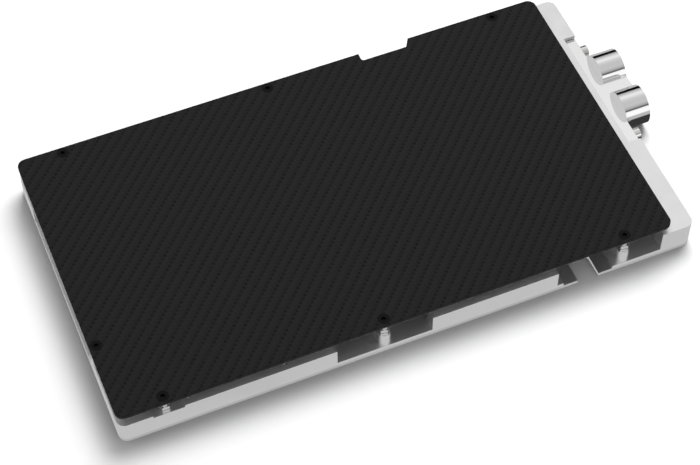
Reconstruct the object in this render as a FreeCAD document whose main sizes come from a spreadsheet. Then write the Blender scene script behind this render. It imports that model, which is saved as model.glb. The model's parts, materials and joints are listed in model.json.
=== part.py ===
"""Liquid cooling cold plate for a full-length graphics or accelerator card.

The assembly lies on its back: the flat cover on the table, the copper cold plate on it, the carbon plate
uppermost. The card's board, which is not part of the product, goes between cold plate and
carbon plate, on the shoulders of the seven hexagon standoffs.

Frame: millimetres, +Z up, X along the plate towards the two ports, origin on the table under the middle of the
whole assembly. Every piece is drawn from the near left corner of the cold plate and shifted once by `place`.
"""
import FreeCAD, Part
import math
import os
import Sketcher

SIZES = (
    # the cold plate as a whole
    ("body_length", 267.3, "copper cold plate along X, as long as a full-length card"),
    ("body_width", 144.0, "copper cold plate, cover and carbon plate along Y"),
    ("corner_radius", 4.0, "upright corners of cold plate, cover and carbon plate"),
    ("cover_thickness", 1.8, "flat cover under the coolant chamber"),
    ("floor_thickness", 1.7, "floor of the cold plate, above the cover"),
    ("wall_rise", 8.9, "rim wall above the floor"),
    ("wall_thickness", 6.0, "rim wall seen from above"),
    ("end_block_length", 15.8, "thick end that carries the port terminal"),
    ("end_block_rise", 10.8, "thick end above the floor"),
    # openings of the rim
    ("io_opening_start", 40.0, "opening for the card's sockets, from the near side"),
    ("io_opening_length", 81.5, "opening for the card's sockets along Y"),
    ("middle_notch_start", 97.2, "open stretch of the near wall, round the middle post"),
    ("middle_notch_length", 44.1, "open stretch of the near wall along X"),
    ("right_notch_start", 201.0, "open stretch of the near wall that runs up to the end block"),
    ("standoff_notch_before", 5.9, "shallow notch round a corner standoff, left of its axis"),
    ("standoff_notch_after", 8.0, "shallow notch round a corner standoff, right of its axis"),
    ("floor_cutout_start", 204.1, "cut-out of the cold plate's floor at the near side"),
    ("floor_cutout_length", 23.6, "cut-out of the floor along X"),
    ("floor_cutout_depth", 14.0, "cut-out of the floor along Y"),
    ("cable_slot_start", 211.1, "slot right through the cover, inside the floor cut-out"),
    ("cable_slot_length", 10.1, "slot through the cover along X"),
    ("cable_slot_depth", 11.0, "slot through the cover along Y"),
    ("cable_slot_radius", 2.0, "inner corners of the slot through the cover"),
    # carbon plate
    ("plate_end_margin", 11.3, "stretch of the end block that the carbon plate leaves bare"),
    ("plate_thickness", 2.0, "carbon plate"),
    ("plate_bevel", 0.25, "bevel round the carbon plate's upper edge"),
    ("power_notch_start", 166.3, "notch in the far edge, over the card's power socket"),
    ("power_notch_length", 22.4, "floor of that notch along X"),
    ("power_notch_depth", 4.5, "notch in the carbon plate along Y"),
    ("power_notch_flare", 2.7, "slope of the notch's right side"),
    ("power_notch_radius", 1.5, "left inner corner of that notch"),
    ("power_opening_margin", 2.0, "opening in the far wall, beyond the notch on each side"),
    # posts, standoffs and the screws of the carbon plate
    ("screw_inset", 3.3, "axes of the standoffs, from the nearest edge"),
    ("screw_left", 21.0, "left pair of standoffs"),
    ("screw_middle", 119.7, "middle pair of standoffs"),
    ("screw_right_margin", 33.8, "right pair of standoffs, from the right end"),
    ("side_screw", 37.2, "single standoff on the left wall, from the near side"),
    ("post_rise", 7.6, "posts that carry the standoffs, above the floor"),
    ("post_width", 5.8, "posts and their ribs across"),
    ("post_nose_radius", 2.7, "rounded front corners of a post"),
    ("nose_overhang", 0.2, "round nose of a post in front of its screw's half width"),
    ("hexagon_flats", 5.5, "standoff across its flats"),
    ("hexagon_height", 3.9, "hexagon of the standoff, up to the card's board"),
    ("neck_diameter", 4.4, "round neck of the standoff, through the card's board"),
    ("neck_height", 3.0, "neck, from the hexagon to the carbon plate"),
    ("groove_width", 0.5, "turned groove half way up the hexagon"),
    ("groove_depth", 0.45, "turned groove, measured in from the flats"),
    ("standoff_turn", -15.0, "degrees by which two standoffs of the near side come to rest off square"),
    ("stud_length", 5.0, "standoff's stud in the post"),
    ("screw_diameter", 3.0, "M3 threads, drawn plain"),
    ("thread_clearance", 0.1, "plain hole over plain thread, on the diameter"),
    ("screw_head_diameter", 5.4, "countersunk head"),
    ("screw_shank_length", 4.5, "countersunk screw below the carbon plate"),
    ("socket_flats", 2.0, "hexagon socket across its flats"),
    ("socket_depth", 1.0, "hexagon socket"),
    # coolant side
    ("island_start", 30.0, "raised middle of the cold plate, from the left end"),
    ("island_side_gap", 20.0, "raised middle, from the near and far sides"),
    ("island_rise", 4.5, "raised middle above the floor"),
    ("chamber_margin", 8.0, "sealing land round the coolant chamber"),
    ("chamber_roof", 2.0, "copper over the coolant chamber"),
    ("die_centre_x", 118.0, "middle of the chip's contact pad"),
    ("die_pad_size", 38.0, "chip's contact pad, square"),
    ("die_pad_rise", 3.8, "chip's contact pad above the raised middle"),
    ("fin_bed_size", 32.0, "finned bed under the chip's pad, square"),
    ("fin_bed_roof", 3.0, "copper between fins and chip"),
    ("fin_thickness", 0.5, "one fin"),
    ("fin_pitch", 1.0, "fin to fin"),
    ("jet_plate_thickness", 0.5, "stainless plate that feeds the fins through one slot"),
    ("jet_plate_border", 5.0, "jet plate and insert beyond the finned bed"),
    ("jet_slot_width", 3.0, "slot in the jet plate"),
    ("insert_thickness", 1.3, "U-shaped insert between cover and jet plate"),
    ("insert_opening", 22.0, "mouth of the insert, across"),
    ("baffle_thickness", 2.5, "walls that part the incoming from the outgoing coolant"),
    ("inlet_channel", 14.0, "channel of the incoming coolant beside the insert"),
    ("gasket_width", 1.8, "flat gasket round the coolant chamber"),
    ("gasket_height", 1.3, "gasket between cold plate and cover"),
    ("seal_clearance", 0.15, "seal to the side of its groove"),
    # raised strips for memory, power stages and coils
    ("chip_strip_width", 12.0, "strips for the memory chips"),
    ("chip_strip_rise", 4.6, "strips for memory and power stages above the raised middle"),
    ("power_strip_width", 8.0, "strips for the power stages"),
    ("coil_strip_rise", 1.5, "strips for the coils above the raised middle"),
    ("strip_gap", 4.0, "between neighbouring strips"),
    ("strip_end_margin", 10.0, "strips stop short of the raised middle's sides"),
    # port terminal
    ("terminal_centre", 85.9, "middle of the terminal, from the near side"),
    ("recess_length", 67.2, "recess in the end block along Y"),
    ("recess_depth", 5.9, "recess in the end block along X"),
    ("terminal_clearance", 0.2, "terminal to the ends of its recess"),
    ("terminal_height", 10.4, "terminal's plate, standing on the cover"),
    ("port_spacing", 24.0, "port to port"),
    ("port_diameter", 18.4, "port outside"),
    ("port_length", 12.0, "port beyond the end block"),
    ("port_height", 9.3, "port axes above the table"),
    ("port_bore", 11.8, "G 1/4 thread, drawn as its core hole"),
    ("port_bore_depth", 10.5, "threaded length of a port"),
    ("port_chamfer", 0.7, "lead-in of the threaded hole"),
    ("web_half_height", 2.9, "web between the ports, above and below the axes"),
    ("passage_diameter", 6.0, "coolant passage from port to chamber"),
    ("passage_height", 7.2, "passage axes above the table"),
    ("seal_section", 1.2, "ring seal of a passage"),
    ("seal_land", 0.5, "between passage and ring seal's groove"),
    ("seal_float", 0.05, "ring seal to each face that it lies between"),
    ("terminal_screw_spacing", 54.0, "screw to screw"),
    ("terminal_screw_height", 9.0, "screw axes above the table"),
    ("cap_head_diameter", 5.6, "cylinder head"),
    ("cap_head_length", 3.5, "cylinder head"),
    ("cap_edge", 0.25, "bevel round the cylinder head"),
    ("cap_socket_flats", 2.5, "socket of the cylinder head"),
    ("cap_socket_depth", 1.6, "socket of the cylinder head"),
    ("terminal_screw_grip", 7.0, "screw in the end block"),
    ("manifold_length", 13.5, "hump over the port wells, from the end block"),
    ("manifold_rise", 9.5, "hump over the port wells above the floor"),
    ("manifold_roof", 2.0, "copper over the port wells"),
    ("well_width", 14.0, "port wells along Y"),
    ("well_length", 14.8, "port wells along X"),
    ("well_land", 5.6, "copper between port wells and recess"),
    ("well_overlap", 4.0, "chamber that runs on under the port wells"),
    # screws of the cover
    ("cover_screw_diameter", 2.5, "M2.5 threads, drawn plain"),
    ("cover_head_diameter", 4.6, "countersunk head"),
    ("cover_screw_length", 7.5, "under the cover's inner face"),
    ("cover_socket_flats", 1.5, "socket of the cover screws"),
    ("cover_socket_depth", 0.8, "socket of the cover screws"),
    ("cover_screw_inset", 4.2, "axes from the nearest edge"),
    ("cover_first_screw", 31.8, "first screw of the long sides, from the left end"),
    ("cover_screw_pitch", 43.0, "screw to screw along the long sides"),
    ("cover_recess_gap", 8.2, "axes beside the terminal's recess"),
    ("cover_corner_gap", 9.0, "axes at the corners of the end block, from the right end"),
    ("thread_mouth", 3.4, "threaded hole of a cover screw where it comes out on top of the rim wall"),
    ("hole_bottom_gap", 0.5, "blind holes below the ends of their screws"),
)


class Size:
    """A length with the formula that it comes from, so that one line gives both number and expression."""

    def __init__(self, number, formula):
        self.number = number
        self.formula = formula

    def join(self, sign, other, number):
        text = other.formula if isinstance(other, Size) else repr(float(other))
        return Size(number, "(%s %s %s)" % (self.formula, sign, text))

    def __add__(self, other):
        return self.join("+", other, self.number + number_of(other))

    def __sub__(self, other):
        return self.join("-", other, self.number - number_of(other))

    def __mul__(self, other):
        return self.join("*", other, self.number * number_of(other))

    def __truediv__(self, other):
        return self.join("/", other, self.number / number_of(other))


def number_of(length):
    return length.number if isinstance(length, Size) else float(length)


document = FreeCAD.newDocument("cold_plate")
sheet = document.addObject("Spreadsheet::Sheet", "Sizes")
for row, (alias, number, note) in enumerate(SIZES, start=1):
    sheet.set("A%d" % row, alias)
    sheet.set("B%d" % row, str(number))
    sheet.setAlias("B%d" % row, alias)
    sheet.set("C%d" % row, note)
document.recompute()
size = {alias: Size(float(sheet.get(alias)), "Sizes." + alias) for alias, number, note in SIZES}
zero = Size(0.0, "0")

# ---------------------------------------------------------------- places that several pieces share
length = size["body_length"]
width = size["body_width"]
radius = size["corner_radius"]
overall_length = length + size["port_length"]

cover_top = size["cover_thickness"]
floor_top = cover_top + size["floor_thickness"]
wall_top = floor_top + size["wall_rise"]
end_block_top = floor_top + size["end_block_rise"]
post_top = floor_top + size["post_rise"]
hexagon_top = post_top + size["hexagon_height"]
plate_bottom = hexagon_top + size["neck_height"]
plate_top = plate_bottom + size["plate_thickness"]
island_top = floor_top + size["island_rise"]
die_pad_top = island_top + size["die_pad_rise"]
chamber_top = island_top - size["chamber_roof"]
fin_bed_top = die_pad_top - size["fin_bed_roof"]
jet_plate_bottom = cover_top + size["insert_thickness"]
jet_plate_top = jet_plate_bottom + size["jet_plate_thickness"]

end_block_start = length - size["end_block_length"]
plate_end = length - size["plate_end_margin"]
recess_start = length - size["recess_depth"]
recess_near = size["terminal_centre"] - size["recess_length"] / 2
recess_far = size["terminal_centre"] + size["recess_length"] / 2
well_end = recess_start - size["well_land"]
well_start = well_end - size["well_length"]
chamber_end = well_start + size["well_overlap"]
manifold_start = end_block_start - size["manifold_length"]
manifold_top = floor_top + size["manifold_rise"]
die_centre_y = width / 2

near_screws = size["screw_inset"]
far_screws = width - size["screw_inset"]
right_screws = length - size["screw_right_margin"]
STANDOFFS = {
    "near_left": (size["screw_left"], near_screws),
    "near_middle": (size["screw_middle"], near_screws),
    "near_right": (right_screws, near_screws),
    "far_left": (size["screw_left"], far_screws),
    "far_middle": (size["screw_middle"], far_screws),
    "far_right": (right_screws, far_screws),
    "side": (size["screw_inset"], size["side_screw"]),
}
TURNED_STANDOFFS = ("near_middle", "near_right")
near_port = size["terminal_centre"] - size["port_spacing"] / 2
far_port = size["terminal_centre"] + size["port_spacing"] / 2
near_terminal_screw = size["terminal_centre"] - size["terminal_screw_spacing"] / 2
far_terminal_screw = size["terminal_centre"] + size["terminal_screw_spacing"] / 2
thread_hole = size["screw_diameter"] + size["thread_clearance"]
cover_thread_hole = size["cover_screw_diameter"] + size["thread_clearance"]

power_opening_start = size["power_notch_start"] - size["power_opening_margin"]
power_opening_end = size["power_notch_start"] + size["power_notch_length"] + size["power_opening_margin"]

# the cover is screwed up into the rim wall, right through it, and into the end block, where the holes are blind
cover_near = size["cover_screw_inset"]
cover_far = width - size["cover_screw_inset"]
cover_left = size["cover_screw_inset"]
cover_right = length - size["cover_screw_inset"]
cover_columns = [size["cover_first_screw"] + size["cover_screw_pitch"] * step for step in (0, 1, 3, 4)]
io_opening_end = size["io_opening_start"] + size["io_opening_length"]
middle_notch_end = size["middle_notch_start"] + size["middle_notch_length"]
RIM_SCREWS = [(column, cover_near) for column in cover_columns[:3]]
RIM_SCREWS += [(column, cover_far) for column in cover_columns]
RIM_SCREWS += [
    (cover_left, size["side_screw"] / 2),
    (cover_left, (io_opening_end + width) / 2),
]
END_SCREWS = [
    (length - size["cover_corner_gap"], cover_near),
    (length - size["cover_corner_gap"], cover_far),
    (cover_right, recess_near - size["cover_recess_gap"]),
    (cover_right, recess_far + size["cover_recess_gap"]),
]
COVER_SCREWS = RIM_SCREWS + END_SCREWS


# ---------------------------------------------------------------- drawing helpers
def new_body(name):
    body = document.addObject("PartDesign::Body", name)
    body.Label = name
    body.setExpression("Placement.Base.x", "-%s / 2" % overall_length.formula)
    body.setExpression("Placement.Base.y", "-%s / 2" % width.formula)
    return body


def new_sketch(body, name, plane="XY_Plane", level=zero):
    """A sketch on one of the body's own planes, moved along that plane's normal to `level`."""
    sketch = body.newObject("Sketcher::SketchObject", name)
    support = [plane_of for plane_of in body.Origin.OriginFeatures if plane_of.Role == plane][0]
    sketch.AttachmentSupport = [(support, "")]
    sketch.MapMode = "FlatFace"
    sketch.setExpression("AttachmentOffset.Base.z", level.formula)
    return sketch


def fix(sketch, constraint, length_):
    """Adds a dimension and binds it to the length's formula."""
    index = sketch.addConstraint(Sketcher.Constraint(*constraint, length_.number))
    sketch.setExpression("Constraints[%d]" % index, length_.formula)


def point_of(corner):
    return FreeCAD.Vector(corner[0].number, corner[1].number, 0)


def step_along(start, end):
    """+1, -1 or 0 along X and along Y, for a line between two corners."""
    return [(b.number > a.number) - (b.number < a.number) for a, b in zip(start[:2], end[:2])]


def fix_point(sketch, line, end, place):
    fix(sketch, ("DistanceX", -1, 1, line, end), place[0])
    fix(sketch, ("DistanceY", -1, 1, line, end), place[1])


def outline(sketch, corners, rounding=None):
    """Closed outline through the corners.

    A third value in a corner, or `rounding`, is the radius that rounds it; both of its lines are then level or
    upright. Every line's ends are fixed, so that a round corner's arc needs no more than its radius.
    """
    count = len(corners)
    radii = [corner[2] if len(corner) > 2 else rounding for corner in corners]
    leaving, arriving = [], []
    for index, corner in enumerate(corners):
        bend = radii[index] or zero
        forward = step_along(corner, corners[(index + 1) % count])
        back = step_along(corner, corners[index - 1])
        leaving.append([corner[axis] + bend * forward[axis] for axis in (0, 1)])
        arriving.append([corner[axis] + bend * back[axis] for axis in (0, 1)])
    lines = []
    for index in range(count):
        line = Part.LineSegment(point_of(leaving[index]), point_of(arriving[(index + 1) % count]))
        lines.append(sketch.addGeometry(line, False))
    for index in range(count):
        before, after = lines[index - 1], lines[index]
        fix_point(sketch, after, 1, leaving[index])
        if radii[index] is None:
            sketch.addConstraint(Sketcher.Constraint("Coincident", before, 2, after, 1))
            continue
        fix_point(sketch, before, 2, arriving[index])
        turn_in, turn_out = point_of(arriving[index]), point_of(leaving[index])
        corner = point_of(corners[index])
        centre = turn_in + turn_out - corner
        middle = centre + (corner - centre).normalize() * radii[index].number
        # a sketch's arc always runs anticlockwise, so one that turns right is drawn from its far end
        turns_left = (corner - turn_in).cross(turn_out - corner).z > 0
        first, last = (1, 2) if turns_left else (2, 1)
        ends = (turn_in, turn_out) if turns_left else (turn_out, turn_in)
        arc = sketch.addGeometry(Part.Arc(ends[0], middle, ends[1]), False)
        sketch.addConstraint(Sketcher.Constraint("Coincident", before, 2, arc, first))
        sketch.addConstraint(Sketcher.Constraint("Coincident", arc, last, after, 1))
        fix(sketch, ("Radius", arc), radii[index])


def rectangle(sketch, x_low, y_low, x_high, y_high, rounding=None):
    outline(sketch, [(x_low, y_low), (x_high, y_low), (x_high, y_high), (x_low, y_high)], rounding)


def circle(sketch, x, y, diameter):
    round_line = Part.Circle(FreeCAD.Vector(x.number, y.number, 0), FreeCAD.Vector(0, 0, 1), diameter.number / 2)
    index = sketch.addGeometry(round_line, False)
    fix(sketch, ("Diameter", index), diameter)
    fix(sketch, ("DistanceX", -1, 1, index, 3), x)
    fix(sketch, ("DistanceY", -1, 1, index, 3), y)


def pad(body, sketch, height, downward=False):
    feature = body.newObject("PartDesign::Pad", sketch.Name + "_pad")
    feature.Profile = sketch
    feature.setExpression("Length", height.formula)
    feature.Reversed = downward
    return feature


def pocket(body, sketch, depth, upward=False):
    feature = body.newObject("PartDesign::Pocket", sketch.Name + "_pocket")
    feature.Profile = sketch
    feature.setExpression("Length", depth.formula)
    feature.Reversed = upward
    return feature


def turned(body, name, profile):
    """Turns a closed profile of (radius, height) corners about the upright axis; slopes are allowed."""
    sketch = new_sketch(body, name, "XZ_Plane")
    outline(sketch, profile)
    feature = body.newObject("PartDesign::Revolution", name + "_turned")
    feature.Profile = sketch
    feature.ReferenceAxis = (sketch, ["V_Axis"])
    feature.Angle = 360
    return feature


# ---------------------------------------------------------------- cold plate
def make_cold_plate():
    """One block of copper: rim, posts and contact pads above, coolant chamber and fins below."""
    body = new_body("cold_plate")
    base = new_sketch(body, "base", level=cover_top)
    rectangle(base, zero, zero, length, width, radius)
    pad(body, base, size["floor_thickness"])

    wall = size["wall_thickness"]
    rim = new_sketch(body, "rim", level=floor_top)
    rectangle(rim, zero, zero, length, width, radius)
    outline(rim, [
        (wall, wall, radius / 2),
        (end_block_start, wall),
        (end_block_start, width - wall, radius / 2),
        (wall, width - wall, radius / 2),
    ])
    pad(body, rim, size["wall_rise"])

    end_block = new_sketch(body, "end_block", level=floor_top)
    corners = [(end_block_start, zero), (length, zero, radius), (length, width, radius), (end_block_start, width)]
    outline(end_block, corners)
    pad(body, end_block, size["end_block_rise"])

    island = new_sketch(body, "island", level=floor_top)
    side = size["island_side_gap"]
    rectangle(island, size["island_start"], side, recess_start, width - side)
    pad(body, island, size["island_rise"])
    manifold = new_sketch(body, "manifold", level=floor_top)
    reach = size["well_width"] / 2 + size["manifold_roof"]
    rectangle(manifold, manifold_start, near_port - reach, recess_start, far_port + reach)
    pad(body, manifold, size["manifold_rise"])

    cut_rim_openings(body)
    add_posts(body)
    add_contact_pads(body)
    cut_coolant_side(body)
    cut_end_block(body)
    cut_screw_holes(body)
    return body


def cut_rim_openings(body):
    """Openings for sockets, cables and standoffs, each milled down from the top of the rim."""
    wall = size["wall_thickness"]
    deep = new_sketch(body, "deep_openings", level=wall_top)
    rectangle(deep, size["middle_notch_start"], zero - wall, middle_notch_end, wall)
    rectangle(deep, size["right_notch_start"], zero - wall, end_block_start, wall)
    rectangle(deep, zero - wall, size["io_opening_start"], wall, io_opening_end)
    rectangle(deep, power_opening_start, width - wall, power_opening_end, width + wall)
    pocket(body, deep, size["wall_rise"])

    shallow = new_sketch(body, "standoff_notches", level=wall_top)
    before, after = size["standoff_notch_before"], size["standoff_notch_after"]
    rectangle(shallow, size["screw_left"] - before, zero - wall, size["screw_left"] + after, wall)
    for axis in (size["screw_left"], size["screw_middle"], right_screws):
        rectangle(shallow, axis - before, width - wall, axis + after, width + wall)
    rectangle(shallow, zero - wall, size["side_screw"] - before, wall, size["io_opening_start"])
    pocket(body, shallow, wall_top - post_top)

    cutout = new_sketch(body, "floor_cutout", level=floor_top)
    cutout_end = size["floor_cutout_start"] + size["floor_cutout_length"]
    rectangle(cutout, size["floor_cutout_start"], zero - wall, cutout_end, size["floor_cutout_depth"])
    pocket(body, cutout, size["floor_thickness"])


def add_posts(body):
    """Round-nosed posts in the open stretches of the near wall, with ribs that run back to the island."""
    half = size["post_width"] / 2
    nose = size["post_nose_radius"]
    front = size["screw_inset"] - half - size["nose_overhang"]
    posts = new_sketch(body, "posts", level=floor_top)
    for axis in (size["screw_middle"], right_screws):
        back = size["island_side_gap"]
        corners = [(axis - half, front, nose), (axis + half, front, nose), (axis + half, back), (axis - half, back)]
        outline(posts, corners)
    pad(body, posts, size["post_rise"])


def add_contact_pads(body):
    """Raised faces that touch the card's parts through thermal pads: chip, memory, power stages, coils."""
    gap = size["strip_gap"]
    half = size["die_pad_size"] / 2
    centre = size["die_centre_x"]
    die = new_sketch(body, "die_pad", level=island_top)
    rectangle(die, centre - half, die_centre_y - half, centre + half, die_centre_y + half, radius / 2)
    pad(body, die, size["die_pad_rise"])

    low = size["island_side_gap"] + size["strip_end_margin"]
    high = width - low
    tall = new_sketch(body, "tall_strips", level=island_top)
    coils = new_sketch(body, "coil_strips", level=island_top)
    chips, stages = size["chip_strip_width"], size["power_strip_width"]
    right = centre + half + gap
    rectangle(tall, right, low, right + chips, high, radius / 2)
    rectangle(tall, right + chips + gap, low, right + chips + gap + stages, high, radius / 2)
    rectangle(coils, right + chips + gap * 2 + stages, low, right + chips * 2 + gap * 2 + stages, high, radius / 2)
    left = centre - half - gap
    rectangle(tall, left - chips, low, left, high, radius / 2)
    rectangle(tall, left - chips - gap - stages, low, left - chips - gap, high, radius / 2)
    rectangle(coils, left - chips * 2 - gap * 2 - stages, low, left - chips - gap * 2 - stages, high, radius / 2)
    pad(body, tall, size["chip_strip_rise"])
    pad(body, coils, size["coil_strip_rise"])


def cut_coolant_side(body):
    """Coolant chamber, port wells, finned bed, baffles and gasket groove, all milled from below."""
    margin = size["chamber_margin"]
    low = size["island_side_gap"] + margin
    high = width - low
    left = size["island_start"] + margin
    chamber = new_sketch(body, "chamber", level=cover_top)
    rectangle(chamber, left, low, chamber_end, high, radius)
    pocket(body, chamber, chamber_top - cover_top, upward=True)

    wells = new_sketch(body, "port_wells", level=cover_top)
    half = size["well_width"] / 2
    for port in (near_port, far_port):
        rectangle(wells, well_start, port - half, well_end, port + half, radius / 2)
    pocket(body, wells, manifold_top - size["manifold_roof"] - cover_top, upward=True)

    half = size["fin_bed_size"] / 2
    centre = size["die_centre_x"]
    bed = new_sketch(body, "fin_bed", level=cover_top)
    rectangle(bed, centre - half, die_centre_y - half, centre + half, die_centre_y + half)
    pocket(body, bed, fin_bed_top - cover_top, upward=True)

    fin = new_sketch(body, "fin", level=jet_plate_top)
    start = centre - half + (size["fin_pitch"] - size["fin_thickness"]) / 2
    rectangle(fin, start, die_centre_y - half, start + size["fin_thickness"], die_centre_y + half)
    first_fin = pad(body, fin, fin_bed_top - jet_plate_top)
    fins = body.newObject("PartDesign::LinearPattern", "fins")
    fins.Originals = [first_fin]
    fins.Direction = (fin, ["H_Axis"])
    fins.setExpression("Length", (size["fin_bed_size"] - size["fin_pitch"]).formula)
    fins.setExpression("Occurrences", "floor(%s / %s)" % (size["fin_bed_size"].formula, size["fin_pitch"].formula))
    body.Tip = fins

    add_baffles(body, left, low, high)

    groove = new_sketch(body, "gasket_groove", level=cover_top)
    side = size["gasket_width"] / 2 + size["seal_clearance"]
    gasket_line(groove, side)
    pocket(body, groove, size["gasket_height"], upward=True)


def add_baffles(body, left, low, high):
    """Walls between incoming and outgoing coolant: the incoming side ends at the mouth of the insert."""
    wall = size["baffle_thickness"]
    half = size["fin_bed_size"] / 2 + size["jet_plate_border"]
    insert_right = size["die_centre_x"] + half
    insert_near = die_centre_y - half
    middle = size["terminal_centre"]
    turn = insert_right + size["inlet_channel"]
    baffles = new_sketch(body, "baffles", level=cover_top)
    outline(baffles, [
        (insert_right, insert_near - wall),
        (turn + wall, insert_near - wall),
        (turn + wall, middle - wall / 2),
        (chamber_end + wall, middle - wall / 2),
        (chamber_end + wall, middle + wall / 2),
        (turn, middle + wall / 2),
        (turn, insert_near),
        (insert_right, insert_near),
    ])
    rectangle(baffles, insert_right, die_centre_y + half, insert_right + wall, high + wall)
    pad(body, baffles, chamber_top - cover_top)


def gasket_line(sketch, side):
    """Two outlines that follow the gasket's middle line at the distance `side`."""
    reach = size["chamber_margin"] / 2
    low = size["island_side_gap"] + reach
    high = width - low
    left = size["island_start"] + reach
    right = (well_end + recess_start) / 2
    rectangle(sketch, left - side, low - side, right + side, high + side, radius + side)
    rectangle(sketch, left + side, low + side, right - side, high - side, radius - side)


def cut_end_block(body):
    """Recess of the terminal, coolant passages and threaded holes in the face behind it."""
    depth = size["recess_depth"]
    recess = new_sketch(body, "terminal_recess", level=end_block_top)
    rectangle(recess, recess_start, recess_near, length + depth, recess_far)
    pocket(body, recess, end_block_top - cover_top)

    passages = new_sketch(body, "passages", "YZ_Plane", recess_start)
    for port in (near_port, far_port):
        circle(passages, port, size["passage_height"], size["passage_diameter"])
    pocket(body, passages, size["well_land"])
    threads = new_sketch(body, "terminal_threads", "YZ_Plane", recess_start)
    for axis in (near_terminal_screw, far_terminal_screw):
        circle(threads, axis, size["terminal_screw_height"], thread_hole)
    pocket(body, threads, size["terminal_screw_grip"] + size["hole_bottom_gap"])


def cut_screw_holes(body):
    studs = new_sketch(body, "stud_holes", level=post_top)
    for x, y in STANDOFFS.values():
        circle(studs, x, y, thread_hole)
    pocket(body, studs, size["stud_length"] + size["hole_bottom_gap"])
    threads = new_sketch(body, "rim_threads", level=wall_top)
    mouths = new_sketch(body, "rim_thread_mouths", level=wall_top)
    for x, y in RIM_SCREWS:
        circle(threads, x, y, cover_thread_hole)
        circle(mouths, x, y, size["thread_mouth"])
    pocket(body, threads, wall_top - cover_top)
    lead_in = pocket(body, mouths, (size["thread_mouth"] - cover_thread_hole) / 2)
    lead_in.TaperAngle = -45
    threads = new_sketch(body, "end_block_threads", level=cover_top)
    for x, y in END_SCREWS:
        circle(threads, x, y, cover_thread_hole)
    pocket(body, threads, size["cover_screw_length"] + size["hole_bottom_gap"], upward=True)


# ---------------------------------------------------------------- cover, jet plate, insert, gasket
def make_cover():
    """Flat cover with a slot at its near edge and countersunk holes from below."""
    body = new_body("bottom_cover")
    sheet_outline = new_sketch(body, "cover_outline")
    slot_start = size["cable_slot_start"]
    slot_end = slot_start + size["cable_slot_length"]
    depth, bend = size["cable_slot_depth"], size["cable_slot_radius"]
    outline(sheet_outline, [
        (zero, zero, radius),
        (slot_start, zero),
        (slot_start, depth, bend),
        (slot_end, depth, bend),
        (slot_end, zero),
        (length, zero, radius),
        (length, width, radius),
        (zero, width, radius),
    ])
    pad(body, sheet_outline, size["cover_thickness"])
    cut_countersinks(body, COVER_SCREWS, zero, "cover", True)
    return body


def cut_countersinks(body, places, face, kind, upward):
    """Cone and through hole for each countersunk screw, cut from the plane `face`."""
    shank = cover_thread_hole if kind == "cover" else thread_hole
    head = size["cover_head_diameter"] if kind == "cover" else size["screw_head_diameter"]
    thickness = size["cover_thickness"] if kind == "cover" else size["plate_thickness"]
    cone = new_sketch(body, kind + "_cones", level=face)
    for x, y in places:
        circle(cone, x, y, head)
    cut = pocket(body, cone, (head - shank) / 2, upward)
    cut.TaperAngle = -45
    through = new_sketch(body, kind + "_holes", level=face)
    for x, y in places:
        circle(through, x, y, shank)
    pocket(body, through, thickness, upward)


def make_jet_plate():
    body = new_body("jet_plate")
    half = size["fin_bed_size"] / 2 + size["jet_plate_border"]
    x, y = size["die_centre_x"], die_centre_y
    sketch = new_sketch(body, "jet_outline", level=jet_plate_bottom)
    rectangle(sketch, x - half, y - half, x + half, y + half)
    reach, across = size["fin_bed_size"] / 2, size["jet_slot_width"] / 2
    rectangle(sketch, x - reach, y - across, x + reach, y + across)
    pad(body, sketch, size["jet_plate_thickness"])
    return body


def make_flow_insert():
    """U-shaped frame: incoming coolant enters between its arms and leaves upwards through the jet slot."""
    body = new_body("flow_insert")
    half = size["fin_bed_size"] / 2 + size["jet_plate_border"]
    mouth = size["insert_opening"] / 2
    x, y = size["die_centre_x"], die_centre_y
    back = x - size["fin_bed_size"] / 2
    sketch = new_sketch(body, "insert_outline", level=cover_top)
    outline(sketch, [
        (x - half, y - half),
        (x + half, y - half),
        (x + half, y - mouth),
        (back, y - mouth, radius / 2),
        (back, y + mouth, radius / 2),
        (x + half, y + mouth),
        (x + half, y + half),
        (x - half, y + half),
    ])
    pad(body, sketch, size["insert_thickness"])
    return body


def make_gasket():
    body = new_body("cover_gasket")
    sketch = new_sketch(body, "gasket_outline", level=cover_top)
    gasket_line(sketch, size["gasket_width"] / 2)
    pad(body, sketch, size["gasket_height"])
    return body


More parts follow.
